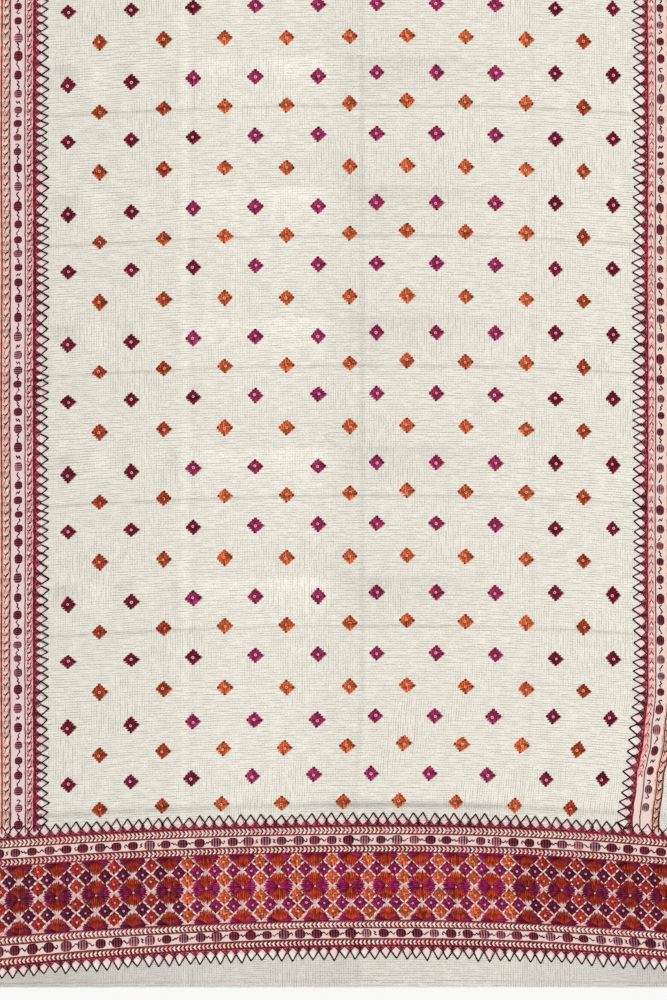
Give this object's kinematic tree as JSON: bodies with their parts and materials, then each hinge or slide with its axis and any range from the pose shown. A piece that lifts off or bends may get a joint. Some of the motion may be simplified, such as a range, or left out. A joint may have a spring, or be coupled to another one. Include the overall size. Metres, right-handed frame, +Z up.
{
  "type": "phulkari shawl",
  "caption": "Rectangular phulkari shawl laid flat: a thin woven cloth with raised lozenge flowers, narrow braids along its sides and flowered bands across both ends.",
  "frame": {"origin": "on the surface the shawl lies on, under the middle of the rectangle that bounds it", "axes": "+Z up, away from the surface; +Y along the shawl's length, from the near end to the far end; +X across its width"},
  "size_m": [0.976, 2.405, 0.0043],
  "materials": {
    "cream_cloth": "plain open weave of cream cotton, matt",
    "braid": "maroon, magenta and peach floss stitched closely, soft sheen",
    "flower_band": "magenta and orange floss stitched closely, soft sheen"
  },
  "bodies": {
    "root": {"ground_cloth": "cream_cloth", "near_inner_braid": "braid", "near_flower_band": "flower_band", "near_outer_braid": "braid", "far_inner_braid": "braid", "far_flower_band": "flower_band", "far_outer_braid": "braid", "left_braid": "braid", "right_braid": "braid"}
  },
  "joints": []
}
